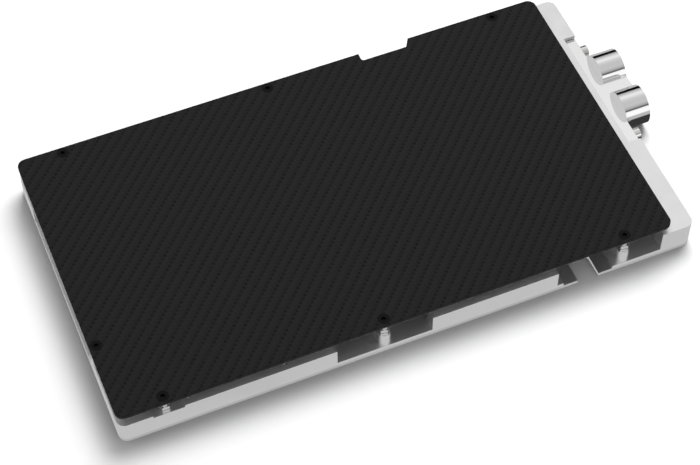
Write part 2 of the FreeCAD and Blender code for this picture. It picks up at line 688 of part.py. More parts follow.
# ---------------------------------------------------------------- port terminal and its seals
def make_terminal():
    """One block: a plate let into the end block, two round ports and the web between them."""
    body = new_body("port_terminal")
    gap = size["terminal_clearance"]
    top = cover_top + size["terminal_height"]
    plate = new_sketch(body, "terminal_plate", "YZ_Plane", recess_start)
    rectangle(plate, recess_near + gap, cover_top, recess_far - gap, top)
    pad(body, plate, size["recess_depth"])

    ports = new_sketch(body, "ports", "YZ_Plane", length)
    for port in (near_port, far_port):
        circle(ports, port, size["port_height"], size["port_diameter"])
    pad(body, ports, size["port_length"])
    web = new_sketch(body, "web", "YZ_Plane", length)
    half = size["web_half_height"]
    rectangle(web, near_port, size["port_height"] - half, far_port, size["port_height"] + half)
    pad(body, web, size["port_length"])

    bores = new_sketch(body, "port_bores", "YZ_Plane", overall_length)
    passages = new_sketch(body, "terminal_passages", "YZ_Plane", overall_length)
    mouths = new_sketch(body, "port_mouths", "YZ_Plane", overall_length)
    grooves = new_sketch(body, "seal_grooves", "YZ_Plane", recess_start)
    for port in (near_port, far_port):
        circle(bores, port, size["port_height"], size["port_bore"])
        circle(passages, port, size["passage_height"], size["passage_diameter"])
        circle(mouths, port, size["port_height"], size["port_bore"] + size["port_chamfer"] * 2)
        circle(grooves, port, size["passage_height"], seal_inside() - size["seal_clearance"])
        circle(grooves, port, size["passage_height"], seal_outside() + size["seal_clearance"] * 2)
    pocket(body, bores, size["port_bore_depth"])
    pocket(body, passages, size["port_length"] + size["recess_depth"])
    lead_in = pocket(body, mouths, size["port_chamfer"])
    lead_in.TaperAngle = -45
    pocket(body, grooves, size["seal_section"] + size["seal_float"] * 2, upward=True)

    screws = new_sketch(body, "terminal_screw_holes", "YZ_Plane", length)
    for axis in (near_terminal_screw, far_terminal_screw):
        circle(screws, axis, size["terminal_screw_height"], thread_hole)
    pocket(body, screws, size["recess_depth"])
    return body


def seal_inside():
    return size["passage_diameter"] + size["seal_land"] * 2


def seal_outside():
    return seal_inside() + size["seal_section"] * 2


def make_ring_seal(name, port):
    """Rubber ring of square section round a passage, between terminal and end block."""
    body = new_body(name)
    ring = new_sketch(body, name + "_ring", "YZ_Plane", recess_start + size["seal_float"])
    circle(ring, port, size["passage_height"], seal_inside())
    circle(ring, port, size["passage_height"], seal_outside())
    pad(body, ring, size["seal_section"])
    return body


def place(piece, x, y, z):
    """Puts a Part object at a place counted from the near left corner."""
    piece.setExpression("Placement.Base.x", (x - overall_length / 2).formula)
    piece.setExpression("Placement.Base.y", (y - width / 2).formula)
    piece.setExpression("Placement.Base.z", z.formula)


# ---------------------------------------------------------------- carbon plate
def make_backplate():
    """Carbon plate: its outline padded to the bevel, then once more with a slope of 45 degrees."""
    body = new_body("carbon_backplate")
    start = size["power_notch_start"]
    end = start + size["power_notch_length"]
    floor = width - size["power_notch_depth"]
    bevel_bottom = plate_top - size["plate_bevel"]
    for name, level, height, slope in (
        ("plate_outline", plate_bottom, size["plate_thickness"] - size["plate_bevel"], 0),
        ("plate_edge", bevel_bottom, size["plate_bevel"], -45),
    ):
        sketch = new_sketch(body, name, level=level)
        outline(sketch, [
            (zero, zero, radius),
            (plate_end, zero, radius),
            (plate_end, width, radius),
            (end + size["power_notch_flare"], width),
            (end, floor),
            (start, floor, size["power_notch_radius"]),
            (start, width),
            (zero, width, radius),
        ])
        pad(body, sketch, height).TaperAngle = slope
    cut_countersinks(body, list(STANDOFFS.values()), plate_top, "plate", False)
    return body


# ---------------------------------------------------------------- turned pieces
def turned_piece(name, profile, x, y):
    """A body turned about its own upright axis, then moved to x, y."""
    body = document.addObject("PartDesign::Body", name)
    body.Label = name
    turned(body, name + "_profile", profile)
    place(body, x, y, zero)
    return body


def hexagon_pocket(body, name, flats, top, depth):
    """Hexagon socket sunk from `top`."""
    sketch = new_sketch(body, name, level=top)
    hexagon(sketch, flats)
    pocket(body, sketch, depth)


def hexagon(sketch, flats):
    """Regular hexagon about the sketch's origin with two corners on its level axis."""
    reach = flats / math.sqrt(3)
    outline(sketch, [
        (reach, zero),
        (reach / 2, flats / 2),
        (zero - reach / 2, flats / 2),
        (zero - reach, zero),
        (zero - reach / 2, zero - flats / 2),
        (reach / 2, zero - flats / 2),
    ])


def make_standoff(label, x, y):
    """Hexagon with a turned groove, a round neck that passes the board and a stud below."""
    body = document.addObject("PartDesign::Body", "standoff_" + label)
    body.Label = "standoff_" + label
    prism = new_sketch(body, "hexagon_" + label, level=post_top)
    hexagon(prism, size["hexagon_flats"])
    pad(body, prism, size["hexagon_height"])
    groove = new_sketch(body, "groove_" + label, level=post_top + size["hexagon_height"] / 2 - size["groove_width"] / 2)
    circle(groove, zero, zero, size["hexagon_flats"] * 2)
    circle(groove, zero, zero, size["hexagon_flats"] - size["groove_depth"] * 2)
    pocket(body, groove, size["groove_width"], upward=True)
    neck = new_sketch(body, "neck_" + label, level=hexagon_top)
    circle(neck, zero, zero, size["neck_diameter"])
    pad(body, neck, size["neck_height"])
    stud = new_sketch(body, "stud_" + label, level=post_top)
    circle(stud, zero, zero, size["screw_diameter"])
    pad(body, stud, size["stud_length"], downward=True)
    thread = new_sketch(body, "thread_" + label, level=plate_bottom)
    circle(thread, zero, zero, thread_hole)
    pocket(body, thread, size["screw_shank_length"] + size["hole_bottom_gap"])
    if label in TURNED_STANDOFFS:
        body.setExpression("Placement.Rotation.Angle", size["standoff_turn"].formula)
    place(body, x, y, zero)
    return body


def countersunk_profile(head, shank, top, end):
    """Half section of a countersunk screw whose flat head lies at `top`; `end` is its lower end."""
    cone = (head - shank) / 2
    downward = -1 if top.number > end.number else 1
    seat = top + cone * downward
    return [(zero, end), (shank / 2, end), (shank / 2, seat), (head / 2, top), (zero, top)]


def make_backplate_screw(label, x, y):
    end = plate_bottom - size["screw_shank_length"]
    profile = countersunk_profile(size["screw_head_diameter"], size["screw_diameter"], plate_top, end)
    body = turned_piece("backplate_screw_" + label, profile, x, y)
    hexagon_pocket(body, "socket_" + label, size["socket_flats"], plate_top, size["socket_depth"])
    return body


def make_cover_screws():
    """All screws of the cover, one solid each, in one group of identical pieces."""
    end = cover_top + size["cover_screw_length"]
    profile = countersunk_profile(size["cover_head_diameter"], size["cover_screw_diameter"], zero, end)
    master = document.addObject("PartDesign::Body", "cover_screw_master")
    turned(master, "cover_screw_profile", profile)
    socket = new_sketch(master, "cover_socket")
    hexagon(socket, size["cover_socket_flats"])
    pocket(master, socket, size["cover_socket_depth"], upward=True)
    copies = []
    for index, (x, y) in enumerate(COVER_SCREWS, start=1):
        copy = document.addObject("App::Link", "cover_screw_%02d" % index)
        copy.LinkedObject = master
        place(copy, x, y, zero)
        copies.append(copy)
    group = document.addObject("Part::Compound", "cover_screws")
    group.Label = "cover_screws"
    group.Links = copies
    return group


def make_terminal_screw(label, y):
    """Cylinder-head screw that lies along X, its head on the terminal's outer face."""
    name = "terminal_screw_" + label
    body = document.addObject("PartDesign::Body", name)
    body.Label = name
    head, shank = size["cap_head_diameter"] / 2, size["screw_diameter"] / 2
    end = length + size["cap_head_length"]
    start = recess_start - size["terminal_screw_grip"]
    edge = size["cap_edge"]
    turned(body, name + "_profile", [
        (zero, start), (shank, start), (shank, length), (head, length), (head, end - edge),
        (head - edge, end), (zero, end),
    ])
    hexagon_pocket(body, name + "_socket", size["cap_socket_flats"], end, size["cap_socket_depth"])
    body.Placement.Rotation = FreeCAD.Rotation(FreeCAD.Vector(0, 1, 0), 90)
    place(body, zero, y, size["terminal_screw_height"])
    return body


# ---------------------------------------------------------------- the assembly
pieces = [make_cold_plate(), make_cover(), make_jet_plate(), make_flow_insert(), make_gasket(), make_terminal()]
pieces += [make_ring_seal("port_seal_near", near_port), make_ring_seal("port_seal_far", far_port)]
pieces += [make_terminal_screw("near", near_terminal_screw), make_terminal_screw("far", far_terminal_screw)]
pieces += [make_backplate(), make_cover_screws()]
for label, (x, y) in STANDOFFS.items():
    pieces.append(make_standoff(label, x, y))
    pieces.append(make_backplate_screw(label, x, y))

document.recompute()
for item in document.Objects:
    if "Invalid" in item.State or "Error" in item.State:
        raise RuntimeError("%s failed: %s" % (item.Name, item.State))
os.makedirs("parts", exist_ok=True)
for piece in pieces:
    shape = piece.Shape
    if shape.isNull() or not shape.isValid():
        raise RuntimeError("%s has no valid shape" % piece.Label)
    shape.exportStep("parts/%s.step" % piece.Label)
    print("%-28s %2d solid(s) %10.1f mm3" % (piece.Label, len(shape.Solids), shape.Volume))
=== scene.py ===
# %% [markdown]
# A liquid cooling cold plate, dressed in Blender.
#
# The shapes come from a CAD model: a milled copper plate with a nickel skin, a thin cover under it, a carbon
# plate held above it on seven hexagon standoffs, and a terminal with two threaded ports on the short end.
# This lesson loads those shapes, gives each one the surface that it has in real life, adds the threads in the
# ports, and lights the whole as a small studio would.

import json
import math

import bpy
from mathutils import Matrix, Vector

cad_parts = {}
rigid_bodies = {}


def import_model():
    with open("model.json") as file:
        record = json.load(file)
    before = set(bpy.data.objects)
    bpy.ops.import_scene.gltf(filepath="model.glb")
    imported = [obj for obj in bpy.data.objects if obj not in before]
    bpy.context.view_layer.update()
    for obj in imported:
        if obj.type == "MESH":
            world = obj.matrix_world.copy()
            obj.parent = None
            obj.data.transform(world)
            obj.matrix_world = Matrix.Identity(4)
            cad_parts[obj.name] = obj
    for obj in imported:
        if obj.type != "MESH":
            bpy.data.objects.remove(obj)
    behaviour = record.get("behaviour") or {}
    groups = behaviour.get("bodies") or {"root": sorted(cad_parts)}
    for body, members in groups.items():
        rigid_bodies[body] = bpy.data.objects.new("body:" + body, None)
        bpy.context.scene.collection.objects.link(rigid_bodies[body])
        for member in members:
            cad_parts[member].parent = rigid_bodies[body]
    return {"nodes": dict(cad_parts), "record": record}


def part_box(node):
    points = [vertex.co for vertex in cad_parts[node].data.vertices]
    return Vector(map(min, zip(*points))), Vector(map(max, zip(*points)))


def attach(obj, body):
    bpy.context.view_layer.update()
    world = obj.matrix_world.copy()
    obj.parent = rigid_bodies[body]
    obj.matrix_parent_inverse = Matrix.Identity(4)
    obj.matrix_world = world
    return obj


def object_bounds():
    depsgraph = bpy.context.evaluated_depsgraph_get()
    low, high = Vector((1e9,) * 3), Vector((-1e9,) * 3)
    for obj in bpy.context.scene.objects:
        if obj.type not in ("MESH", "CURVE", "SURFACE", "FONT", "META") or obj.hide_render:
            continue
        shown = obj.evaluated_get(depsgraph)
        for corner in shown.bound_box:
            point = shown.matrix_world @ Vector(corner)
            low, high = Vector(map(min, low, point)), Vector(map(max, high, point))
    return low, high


for leftover in list(bpy.data.objects):
    bpy.data.objects.remove(leftover)
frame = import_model()
nodes = frame["nodes"]
cad_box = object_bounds()
print("pieces of the CAD model:", len(nodes))

# %% [markdown]
# Places on the part are worked out from the model itself, so that they still fit if the model grows. All that
# is needed is the box of the whole part, the places of the two ports and the lower face of the carbon plate.

# %% Measure the model
MM = 0.001
low, high = cad_box
part_size = high - low
part_middle = (low + high) / 2
ports = [mount for mount in frame["record"]["mounts"] if mount["name"].startswith("port_")]
plate_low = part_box("carbon_backplate")[0]
print("size in mm:", [round(side / MM, 1) for side in part_size])
print("ports:", [mount["name"] for mount in ports])

# %% [markdown]
# The camera looks down on the near left corner with a long lens, as is usual for a catalogue: a long lens
# keeps the far edges nearly as long as the near ones. Its place is given by the way it looks at a point
# near the middle of the part, which is easier to change than three coordinates.

# %% Camera
AIM = Vector((-0.013326, -0.015020, part_middle.z))
CAMERA_AZIMUTH = math.radians(-111.866)
CAMERA_ELEVATION = math.radians(54.295)
CAMERA_DISTANCE = 0.8563
CAMERA_ROLL = math.radians(-0.577)
LENS_MM = 99.54
SENSOR_MM = 36


def direction(azimuth, elevation):
    """The unit vector that points from the part towards a place seen at these two angles."""
    flat = math.cos(elevation)
    return Vector((flat * math.cos(azimuth), flat * math.sin(azimuth), math.sin(elevation)))


camera = bpy.data.objects.new("camera", bpy.data.cameras.new("camera"))
bpy.context.scene.collection.objects.link(camera)
towards_camera = direction(CAMERA_AZIMUTH, CAMERA_ELEVATION)
turn = (-towards_camera).to_track_quat("-Z", "Y").to_matrix().to_4x4()
camera.matrix_world = (
    Matrix.Translation(AIM + towards_camera * CAMERA_DISTANCE) @ turn @ Matrix.Rotation(CAMERA_ROLL, 4, "Z")
)
camera.data.lens = LENS_MM
camera.data.sensor_width = SENSOR_MM
camera.data.clip_start = 0.01
bpy.context.scene.camera = camera
bpy.context.scene.view_settings.view_transform = "Standard"
print("camera stands at", [round(value, 3) for value in camera.matrix_world.translation])

# %% [markdown]
# Colours are picked the way a painter picks them, as sRGB hex values, but a renderer counts light, so each
# value is turned to linear once, here. One small function adds a node with its settings and its links. It is
# the only helper that the materials need.

# %% Two helpers for colour and nodes


def linear(hex_colour):
    """Turns an sRGB hex value into the linear colour that a shader works with."""
    shares = [int(hex_colour[start:start + 2], 16) / 255 for start in (1, 3, 5)]
    light = [share / 12.92 if share <= 0.04045 else ((share + 0.055) / 1.055) ** 2.4 for share in shares]
    return light + [1.0]


def add_node(tree, kind, settings=None, inputs=None):
    """Adds a node. An input is a constant, or the output socket that is linked to it."""
    node = tree.nodes.new(kind)
    for name, value in (settings or {}).items():
        setattr(node, name, value)
    for key, value in (inputs or {}).items():
        if isinstance(value, bpy.types.NodeSocket):
            tree.links.new(value, node.inputs[key])
        else:
            node.inputs[key].default_value = value
    return node


print("mid grey #808080 is", round(linear("#808080")[0], 3), "of white in linear light")

# %% [markdown]
# A material starts as an empty tree with one shader. What most of the finishes share is a way to measure in
# millimetres on the piece, so that a weave or a grinding mark has its real size. Object coordinates are in
# metres here, because no object is scaled.

# %% Start a material


def new_material(name):
    """An empty material with its shader. Returns the material, its tree and the shader."""
    material = bpy.data.materials.new(name)
    material.use_nodes = True
    tree = material.node_tree
    shader = tree.nodes["Principled BSDF"]
    return material, tree, shader


def millimetres(tree, stretch):
    """A place on the piece in millimetres, divided by the stretch along each axis."""
    place = add_node(tree, "ShaderNodeTexCoord")
    mapping = add_node(tree, "ShaderNodeMapping", inputs={"Vector": place.outputs["Object"]})
    mapping.inputs["Scale"].default_value = [1 / MM / along for along in stretch]
    return mapping.outputs["Vector"]


finish_names = {slot.material.name for node in nodes.values() for slot in node.material_slots}
print("finishes named by the model:", sorted(finish_names))

# %% [markdown]
# Every metal is made the same way. Its tool leaves fine marks, which are a bump far too shallow to see as a
# shape, but which the reflections follow. The gloss differs a little from patch to patch, as it does on any
# piece that was handled. Edges are rounded by about a tenth of a millimetre or less, as deburring leaves
# them, and draw a thin bright line where they catch the light.

# %% Metal
PATCH_MM = 9
NOISE_LOW, NOISE_HIGH = 0.3, 0.7


def metal(name, colour, roughness, marks_mm, mark_depth_mm, spread, edge_mm=0.12):
    """A bare or plated metal: fine marks of its tool, a slightly uneven gloss and edges that were broken."""
    material, tree, shader = new_material(name)
    shader.inputs["Base Color"].default_value = linear(colour)
    shader.inputs["Metallic"].default_value = 1.0
    marks = add_node(tree, "ShaderNodeTexNoise", {"noise_dimensions": "3D"},
                     {"Vector": millimetres(tree, marks_mm), "Scale": 1.0, "Detail": 3.0})
    patches = add_node(tree, "ShaderNodeTexNoise", inputs={
        "Vector": millimetres(tree, [PATCH_MM] * 3), "Scale": 1.0, "Detail": 2.0})
    gloss = add_node(tree, "ShaderNodeMapRange", inputs={
        "Value": patches.outputs["Fac"], "From Min": NOISE_LOW, "From Max": NOISE_HIGH,
        "To Min": roughness - spread, "To Max": roughness + spread})
    broken_edge = add_node(tree, "ShaderNodeBevel", {"samples": 4}, {"Radius": edge_mm * MM})
    relief = add_node(tree, "ShaderNodeBump", inputs={
        "Height": marks.outputs["Fac"], "Distance": mark_depth_mm * MM, "Strength": 1.0,
        "Normal": broken_edge.outputs["Normal"]})
    tree.links.new(gloss.outputs["Result"], shader.inputs["Roughness"])
    tree.links.new(relief.outputs["Normal"], shader.inputs["Normal"])
    print(name, "has marks of", marks_mm, "mm,", mark_depth_mm, "mm deep")
    return material


print("gloss differs in patches of", PATCH_MM, "mm")

# %% [markdown]
# Electroless nickel on milled copper. The copper is cut on a milling machine, which leaves fine parallel
# marks, and the bath lays an even, neutral grey skin over it. It is satin: it shows what stands around it as
# soft areas of light and dark, without edges. The real marks are about 0.1 mm apart, too fine to show at this
# size, so they are drawn 0.5 mm apart.

# %% Nickel-plated copper
nickel_on_milled_copper = metal(
    "nickel_plated_milled_copper", "#E6E6E6", roughness=0.4, marks_mm=(26, 0.5, 0.5),
    mark_depth_mm=0.0012, spread=0.03, edge_mm=0.05)

# %% [markdown]
# Bright nickel on turned brass: the terminal with its two ports, and the standoffs. These are polished before
# they are plated, so they are the brightest pieces, with sharp bands of light and dark along their round
# sides. The marks run round the piece, so they are short along the axis of the ports.

# %% Nickel-plated brass
nickel_on_polished_brass = metal(
    "nickel_plated_polished_brass", "#D8D8D8", roughness=0.09, marks_mm=(0.6, 5, 5),
    mark_depth_mm=0.0006, spread=0.02, edge_mm=0.08)

# %% [markdown]
# Stainless steel comes in two finishes. The cover is a sheet ground on a belt, with long fine scratches along
# its length. The cylinder-head screws are turned and tumbled bright.

# %% Stainless steel
ground_stainless_sheet = metal(
    "ground_stainless_sheet", "#D2D2D2", roughness=0.36, marks_mm=(40, 0.3, 0.3),
    mark_depth_mm=0.002, spread=0.04)
tumbled_stainless_screw = metal(
    "tumbled_stainless_steel", "#D4D4D3", roughness=0.11, marks_mm=(1.5, 1.5, 1.5),
    mark_depth_mm=0.0005, spread=0.02, edge_mm=0.06)

# %% [markdown]
# Carbon laminate, cut from a sheet of 2/2 twill. Flat ribbons of fibre, called tows, cross at right angles.
# Each passes over two and under two, and each row starts one tow further on, which draws the diagonal ribs.
# A tow is about 1.5 mm wide here, so the pattern repeats every 6 mm. Fibre is black all over, and the weave
# shows because each tow is rounded across its width, and through painted light: one direction is painted a
# shade darker than the other, for the way the two directions catch the light, and painted shade darkens a tow
# where it dives under the next one. These painted dark spots line up along the ribs, and noise makes some of
# them deeper than others. The resin leaves a fine ripple on each tow.
#
# The weave is arithmetic on a place that is counted in tows. It is written here as a table, in which each row
# names a value and says how a Math node makes it from one or two others.

# %% Twill as a table of steps
TOW_MM = 1.515
TOWS_IN_REPEAT = 4
RIPPLES_PER_TOW = 9
SHARE_ON_TOP = 0.5
ROUNDNESS = 0.4
START_OF_DIVE = 0.7
LOWER_FACE_MM = 0.05
TWILL_STEPS = [
    ("column", "FLOOR", "x", 0.0),
    ("row", "FLOOR", "y", 0.0),
    ("step", "SUBTRACT", "column", "row"),
    ("repeats", "DIVIDE", "step", TOWS_IN_REPEAT),
    ("phase", "FRACT", "repeats", 0.0),
    ("warp_on_top", "LESS_THAN", "phase", SHARE_ON_TOP),
    ("dives", "GREATER_THAN", "phase", START_OF_DIVE),
    ("level", "MULTIPLY", "z", TOW_MM),
    ("lower_face", "LESS_THAN", "level", plate_low.z / MM + LOWER_FACE_MM),
]
for tow, across, along in (("warp", "y", "x"), ("weft", "x", "y")):
    TWILL_STEPS += [
        (tow + "_across", "FRACT", across, 0.0),
        (tow + "_angle", "MULTIPLY", tow + "_across", math.pi),
        (tow + "_bulge", "SINE", tow + "_angle", 0.0),
        (tow + "_height", "POWER", tow + "_bulge", ROUNDNESS),
        (tow + "_turns", "MULTIPLY", along, 2 * math.pi * RIPPLES_PER_TOW),
        (tow + "_ripple", "SINE", tow + "_turns", 0.0),
    ]
# The last two steps mark the painted shade where a tow dives under the next one.
TWILL_STEPS += [
    ("both_high", "MULTIPLY", "warp_height", "weft_height"),
    ("painted_dive_shade", "MULTIPLY", "dives", "both_high"),
]
print("twill repeats every", round(TOWS_IN_REPEAT * TOW_MM, 2), "mm and takes", len(TWILL_STEPS), "steps")

# %% [markdown]
# A loop turns the table into nodes. The tow that lies on top then gives each place its height and its ripple,
# and the painted shade of the spots darkens the colour. The underside of the sheet is painted a pale grey,
# paler than a peel ply leaves it, which stands in for light under the plate that the nickel below mirrors.

# %% Carbon twill
UNEVEN_MM = 1.6
UNEVEN_FROM, UNEVEN_TO = -0.5, 2.1
RIPPLE_SHARE = 0.12
RELIEF_MM = 0.015


def carbon_twill():
    """The woven face of the laminate, with its two directions of fibre."""
    material, tree, shader = new_material("satin_carbon_twill")
    counted = add_node(tree, "ShaderNodeSeparateXYZ", inputs={"Vector": millimetres(tree, [TOW_MM] * 3)})
    values = {axis.lower(): counted.outputs[axis] for axis in "XYZ"}
    for name, operation, first, second in TWILL_STEPS:
        made = add_node(tree, "ShaderNodeMath", {"operation": operation}, {
            0: values.get(first, first), 1: values.get(second, second)})
        values[name] = made.outputs[0]
    for name in ("height", "ripple"):
        on_top = add_node(tree, "ShaderNodeMix", {"data_type": "FLOAT"}, {
            "Factor": values["warp_on_top"], "A": values["weft_" + name], "B": values["warp_" + name]})
        values[name] = on_top.outputs["Result"]

    # Noise makes the painted shade deeper at some dives than at others.
    uneven = add_node(tree, "ShaderNodeTexNoise", inputs={
        "Vector": millimetres(tree, [UNEVEN_MM] * 3), "Scale": 1.0, "Detail": 3.0})
    depth = add_node(tree, "ShaderNodeMapRange", inputs={
        "Value": uneven.outputs["Fac"], "To Min": UNEVEN_FROM, "To Max": UNEVEN_TO})
    shade = add_node(tree, "ShaderNodeMath", {"operation": "MULTIPLY"}, {
        0: values["painted_dive_shade"], 1: depth.outputs["Result"]})
    # One direction of fibre is painted a shade darker than the other, for the way each catches the light.
    fibre = add_node(tree, "ShaderNodeMix", {"data_type": "RGBA"}, {
        "Factor": values["warp_on_top"], "A": linear("#181818"), "B": linear("#1B1B1B")})
    # The painted shade of the dives darkens the fibre.
    woven = add_node(tree, "ShaderNodeMix", {"data_type": "RGBA"}, {
        "Factor": shade.outputs[0], "A": fibre.outputs["Result"], "B": linear("#0B0B0B")})
    # Painted light: the lower face is pale grey, standing in for light under the plate that the nickel below
    # mirrors.
    shown = add_node(tree, "ShaderNodeMix", {"data_type": "RGBA"}, {
        "Factor": values["lower_face"], "A": woven.outputs["Result"], "B": linear("#B8B8B8")})
    surface_height = add_node(tree, "ShaderNodeMath", {"operation": "MULTIPLY_ADD"}, {
        0: values["ripple"], 1: RIPPLE_SHARE, 2: values["height"]})
    relief = add_node(tree, "ShaderNodeBump", inputs={
        "Height": surface_height.outputs[0], "Distance": RELIEF_MM * MM, "Strength": 1.0})
    tree.links.new(shown.outputs["Result"], shader.inputs["Base Color"])
    tree.links.new(relief.outputs["Normal"], shader.inputs["Normal"])
    shader.inputs["Roughness"].default_value = 0.55
    shader.inputs["IOR"].default_value = 1.5
    shader.inputs["Specular IOR Level"].default_value = 0.12
    print("the twill has", len(tree.nodes), "nodes")
    return material


satin_carbon_twill = carbon_twill()

# %% [markdown]
# The last three finishes are dark. Black oxide on the small countersunk screws is thin and drinks the light.
# The gasket and the ring seals are nitrile rubber, matt with a bloom of fine powder. The insert in the
# coolant chamber is black acetal, a waxy plastic.

# %% Black oxide, rubber and acetal


def dull(name, colour, mottled_colour, roughness, grain_mm, grain_depth_mm, specular):
    """A dark, even finish with a fine grain and a slight mottling of its colour."""
    material, tree, shader = new_material(name)
    grain = add_node(tree, "ShaderNodeTexNoise", inputs={
        "Vector": millimetres(tree, [grain_mm] * 3), "Scale": 1.0, "Detail": 4.0})
    mottled = add_node(tree, "ShaderNodeMix", {"data_type": "RGBA"}, {
        "Factor": grain.outputs["Fac"], "A": linear(colour), "B": linear(mottled_colour)})
    relief = add_node(tree, "ShaderNodeBump", inputs={
        "Height": grain.outputs["Fac"], "Distance": grain_depth_mm * MM, "Strength": 1.0})
    tree.links.new(mottled.outputs["Result"], shader.inputs["Base Color"])
    tree.links.new(relief.outputs["Normal"], shader.inputs["Normal"])
    shader.inputs["Roughness"].default_value = roughness
    shader.inputs["Specular IOR Level"].default_value = specular
    print(name, "has a grain of", grain_mm, "mm")
    return material


black_oxide_steel = dull(
    "black_oxide_on_steel", "#050505", "#0B0B0B", roughness=0.5, grain_mm=0.2,
    grain_depth_mm=0.004, specular=0.1)
nitrile_rubber = dull(
    "moulded_nitrile_rubber", "#161616", "#1E1E1D", roughness=0.75, grain_mm=0.4,
    grain_depth_mm=0.006, specular=0.4)
black_acetal = dull(
    "machined_black_acetal", "#1A1A1B", "#222222", roughness=0.38, grain_mm=0.6,
    grain_depth_mm=0.003, specular=0.5)

# %% [markdown]
# Each CAD piece gets its finish in its own material slot. The model names a finish for each piece, so one
# table from those names to the materials dresses all of them.

# %% Dress the pieces
FINISHES = {
    "nickel_plated_copper": nickel_on_milled_copper,
    "nickel_plated_brass": nickel_on_polished_brass,
    "stainless_sheet": ground_stainless_sheet,
    "stainless_screw": tumbled_stainless_screw,
    "carbon_laminate": satin_carbon_twill,
    "black_steel": black_oxide_steel,
    "rubber": nitrile_rubber,
    "acetal": black_acetal,
}
for node in nodes.values():
    for slot in node.material_slots:
        slot.material = FINISHES[slot.material.name]
print("dressed", len(nodes), "pieces in", len(FINISHES), "finishes")

# %% [markdown]
# The ports are threaded inside, and the CAD model leaves them plain. A pipe thread of this size has 19 turns
# to the inch, which is a pitch of 1.337 mm. A thread follows a rule, so Geometry Nodes make it: a helix, with
# a small triangle swept along it. The radius, the pitch, the length and the depth are named inputs.

# %% Thread as a node tree
THREAD_PITCH = 25.4 / 19 * MM
THREAD_DEPTH = 0.34 * MM
STEPS_PER_TURN = 40
CORNERS_OF_RIDGE = 3
HEIGHT_TO_RADIUS = 1.5  # a triangle is this many times as high as its corners are far from its middle


def thread_tree(material):
    """A helical ridge that winds up the Z axis from the origin, standing inwards from a wall."""
    tree = bpy.data.node_groups.new("port_thread", "GeometryNodeTree")
    tree.interface.new_socket("Geometry", in_out="OUTPUT", socket_type="NodeSocketGeometry")
    for name in ("Wall Radius", "Pitch", "Length", "Depth"):
        tree.interface.new_socket(name, in_out="INPUT", socket_type="NodeSocketFloat")
    sizes = add_node(tree, "NodeGroupInput").outputs
    turns = add_node(tree, "ShaderNodeMath", {"operation": "DIVIDE"}, {0: sizes["Length"], 1: sizes["Pitch"]})
    # The middle of the ridge stands half its depth inwards from the wall.
    radius = add_node(tree, "ShaderNodeMath", {"operation": "MULTIPLY_ADD"}, {
        0: sizes["Depth"], 1: -0.5, 2: sizes["Wall Radius"]})
    corner_reach = add_node(tree, "ShaderNodeMath", {"operation": "DIVIDE"}, {
        0: sizes["Depth"], 1: HEIGHT_TO_RADIUS})
    helix = add_node(tree, "GeometryNodeCurveSpiral", inputs={
        "Resolution": STEPS_PER_TURN, "Rotations": turns.outputs[0], "Start Radius": radius.outputs[0],
        "End Radius": radius.outputs[0], "Height": sizes["Length"]})
    upright = add_node(tree, "GeometryNodeSetCurveNormal", {"mode": "Z_UP"}, {
        "Curve": helix.outputs["Curve"]})
    triangle = add_node(tree, "GeometryNodeCurvePrimitiveCircle", {"mode": "RADIUS"}, {
        "Resolution": CORNERS_OF_RIDGE, "Radius": corner_reach.outputs[0]})
    ridge = add_node(tree, "GeometryNodeCurveToMesh", inputs={
        "Curve": upright.outputs["Curve"], "Profile Curve": triangle.outputs["Curve"], "Fill Caps": True})
    whole = add_node(tree, "GeometryNodeRealizeInstances", inputs={"Geometry": ridge.outputs["Mesh"]})
    coated = add_node(tree, "GeometryNodeSetMaterial", inputs={
        "Geometry": whole.outputs["Geometry"], "Material": material})
    add_node(tree, "NodeGroupOutput", inputs={"Geometry": coated.outputs["Geometry"]})
    return tree


thread_nodes = thread_tree(nickel_on_polished_brass)
print("thread tree has", len(thread_nodes.nodes), "nodes")

# %% [markdown]
# The tree is run once for each port and its result kept as a plain mesh, turned so that it winds along the
# bore. It starts and ends a little inside the bore, as a cut thread does behind its lead-in.

# %% Put a thread in each port
THREAD_MARGIN = 0.5 * MM


def made_mesh(name, tree, sizes):
    """Runs a node tree with these sizes and returns its result as a plain mesh."""
    carrier = bpy.data.objects.new(name, bpy.data.meshes.new(name + "_empty"))
    bpy.context.scene.collection.objects.link(carrier)
    modifier = carrier.modifiers.new("shape", "NODES")
    modifier.node_group = tree
    for socket in tree.interface.items_tree:
        if socket.in_out == "INPUT":
            modifier[socket.identifier] = sizes[socket.name]
    evaluated = carrier.evaluated_get(bpy.context.evaluated_depsgraph_get())
    mesh = bpy.data.meshes.new_from_object(evaluated)
    bpy.data.objects.remove(carrier)
    mesh.name = name
    return mesh


for mount in ports:
    bore = mount["dims"]
    length = bore["length_mm"] * MM - 2 * THREAD_MARGIN
    name = mount["name"].replace("port_", "port_thread_")
    mesh = made_mesh(name, thread_nodes, {
        "Wall Radius": bore["r_mm"] * MM, "Pitch": THREAD_PITCH, "Length": length, "Depth": THREAD_DEPTH})
    start = Vector(mount["pos_m"]) - Vector(mount["axis"]) * length / 2
    mesh.transform(Matrix.Translation(start) @ Matrix.Rotation(math.pi / 2, 4, "Y"))
    thread = bpy.data.objects.new(name, mesh)
    bpy.context.scene.collection.objects.link(thread)
    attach(thread, "root")
    print(name, "has", len(mesh.polygons), "faces")

# %% [markdown]
# Two helpers make the studio. A level sheet serves twice, as the table and as a card. Metal that is lit by
# its surroundings also lights the paper beside it, as a mirror would, and that would wash out the shadow
# where the part meets the table. So what metal mirrors is shown only to the camera, and is dark once a dull
# surface lies in between.

# %% Two helpers for the studio


